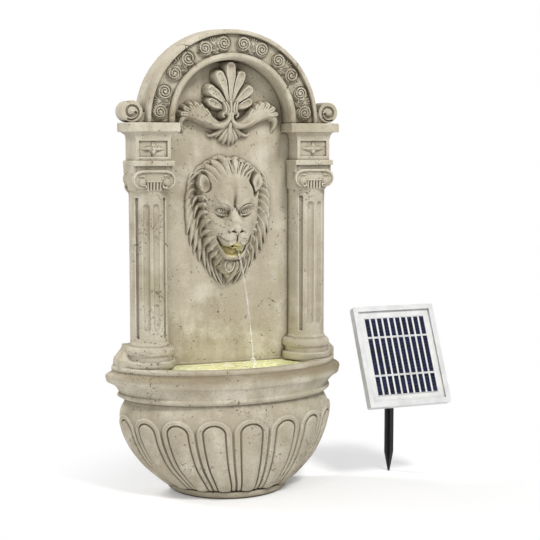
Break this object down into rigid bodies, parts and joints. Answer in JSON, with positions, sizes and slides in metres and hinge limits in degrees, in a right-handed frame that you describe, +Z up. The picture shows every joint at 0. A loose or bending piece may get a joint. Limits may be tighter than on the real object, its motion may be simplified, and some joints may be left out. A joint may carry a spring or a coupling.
{
  "type": "garden wall fountain",
  "caption": "Standing garden wall fountain of cast stone: lion mask over a gadrooned half-oval basin, fluted half columns, scroll arch, and a solar panel on a ground stake.",
  "frame": {"origin": "centre of the underside of the basin's foot, on the ground", "axes": "+Z up, +Y into the wall behind the fountain, front faces -Y, +X to the viewer's right"},
  "size_m": [0.5957, 0.1493, 0.7859],
  "materials": {
    "cast_stone": "aged, matt",
    "cover_plastic": "matt",
    "zinc_screw": "satin",
    "steel_plate": "satin",
    "black_plastic": "matt",
    "grey_plastic": "matt",
    "white_plastic": "satin",
    "hose_pvc": "semi gloss",
    "black_rubber": "matt",
    "sponge_foam": "open foam",
    "brass_pipe": "dull",
    "steel_pin": "polished",
    "rotor_plastic": "moulded",
    "circuit_board": "lacquered",
    "lens": "frosted",
    "panel_glass": "clear",
    "solar_cell": "dark blue silicon",
    "tin_ribbon": "bright",
    "backing_sheet": "smooth",
    "battery_wrap": "shrink wrap",
    "button_cap": "matt"
  },
  "bodies": {
    "fountain": {"basin": "cast_stone", "wall_panel": "cast_stone", "right_column": "cast_stone", "left_column": "cast_stone", "lion_mask": "cast_stone", "palmette_crest": "cast_stone", "rear_cover": "cover_plastic", "rear_cover_screws": "zinc_screw", "hanger_plates": "steel_plate", "hanger_screws": "zinc_screw", "wall_elbow": "black_plastic", "wall_elbow_seal": "black_rubber", "wall_elbow_nut": "black_plastic", "pump_hose": "hose_pvc", "riser_hose": "hose_pvc", "hose_clamps": "steel_plate", "spout_elbow": "black_plastic", "spout_pipe": "brass_pipe", "pump_housing": "black_plastic", "impeller_cover": "grey_plastic", "impeller_shaft": "steel_pin", "pump_strainer": "black_plastic", "pump_sponge": "sponge_foam", "suction_cups": "black_rubber", "basin_light_body": "black_plastic", "basin_light_board": "circuit_board", "basin_light_lens": "lens", "mouth_light_ring": "black_plastic", "mouth_light_lens": "lens", "cable_gland": "black_plastic", "cable_grommet": "black_rubber", "stake_tube": "black_plastic", "ground_spike": "black_plastic"},
    "tilt_head": {"tilt_head": "black_plastic"},
    "panel_head": {"panel_frame": "white_plastic", "panel_glass": "panel_glass", "solar_cells": "solar_cell", "cell_ribbons": "tin_ribbon", "panel_backing": "backing_sheet", "panel_back": "white_plastic", "control_box_body": "black_plastic", "control_box_seal": "black_rubber", "control_box_lid": "black_plastic", "control_box_screws": "zinc_screw", "battery_pack": "battery_wrap", "control_board": "circuit_board", "cable_sockets": "black_plastic", "panel_bracket": "steel_plate", "bracket_screws": "zinc_screw", "tilt_bolt": "zinc_screw"},
    "power_button": {"power_button": "button_cap"},
    "wing_nut": {"wing_nut": "zinc_screw"},
    "impeller": {"impeller": "rotor_plastic"},
    "flow_slider": {"flow_slider": "grey_plastic"}
  },
  "joints": [
    {"name": "head_swivel", "type": "hinge", "parent": "fountain", "child": "tilt_head", "pos_m": [0.305, -0.02101, 0.17], "axis": [0, 0, 1], "range_deg": [-25, 40]},
    {"name": "panel_tilt", "type": "hinge", "parent": "tilt_head", "child": "panel_head", "pos_m": [0.305, -0.02101, 0.19857], "axis": [-1, 0, 0], "range_deg": [-25, 40]},
    {"name": "power_press", "type": "slide", "parent": "panel_head", "child": "power_button", "axis": [0, -0.9063, 0.4226], "range_m": [0, 0.0015], "stiffness_N_per_m": 400},
    {"name": "wing_nut_turn", "type": "hinge", "parent": "panel_head", "child": "wing_nut", "pos_m": [0.319, -0.02101, 0.19857], "axis": [1, 0, 0], "range_deg": [0, 180]},
    {"name": "impeller_spin", "type": "hinge", "parent": "fountain", "child": "impeller", "pos_m": [0, -0.036, 0.048], "axis": [0, -1, 0], "continuous": true},
    {"name": "flow_slide", "type": "slide", "parent": "fountain", "child": "flow_slider", "axis": [1, 0, 0], "range_m": [-0.005, 0.005]}
  ]
}
